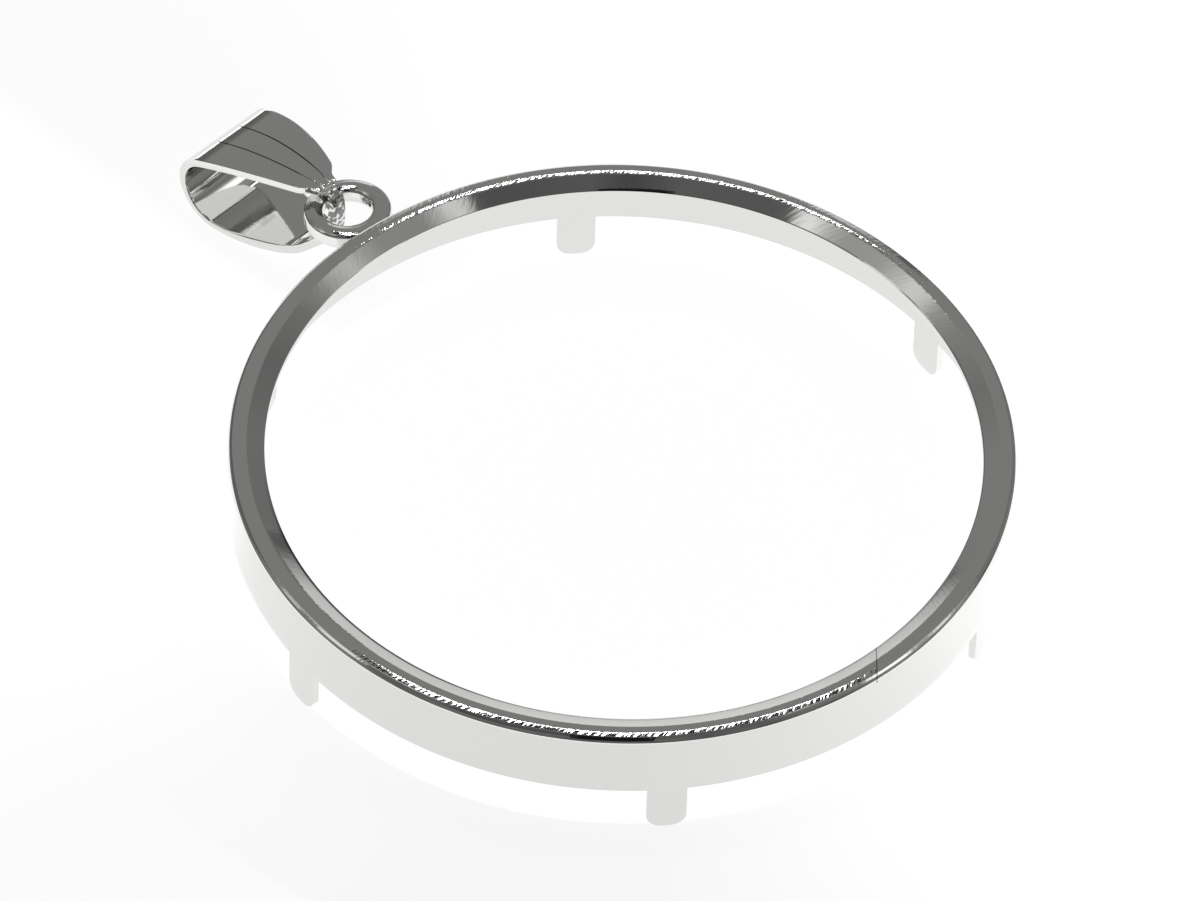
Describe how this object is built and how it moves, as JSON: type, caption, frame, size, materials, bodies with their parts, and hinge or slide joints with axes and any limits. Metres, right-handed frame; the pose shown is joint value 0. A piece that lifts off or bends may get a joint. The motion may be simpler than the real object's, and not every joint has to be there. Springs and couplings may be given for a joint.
{
  "type": "coin pendant frame with a swinging bail",
  "caption": "Round polished silver frame that clips round a coin with folding tabs, with a ring and a tapered bail for a chain.",
  "frame": {"origin": "on the frame's axis, in the plane of the coin seat's mouth, which is the wall's lower edge between the tabs", "axes": "+Z towards the pendant's front, against the way the coin goes out; +Y from the frame's axis towards the bail"},
  "size_m": [0.0416, 0.0544, 0.0067],
  "materials": {
    "polished_silver": "mirror polished sterling silver",
    "polished_silver_sheet": "mirror polished sterling silver sheet"
  },
  "bodies": {
    "frame": {"coin_frame": "polished_silver"},
    "bail": {"bail": "polished_silver_sheet"}
  },
  "joints": [
    {"name": "bail_swing", "type": "hinge", "parent": "frame", "child": "bail", "pos_m": [-0.00017, 0.02487, 0.00243], "axis": [0.9953, 0.0906, 0.0349], "range_deg": [-65, 60]}
  ]
}
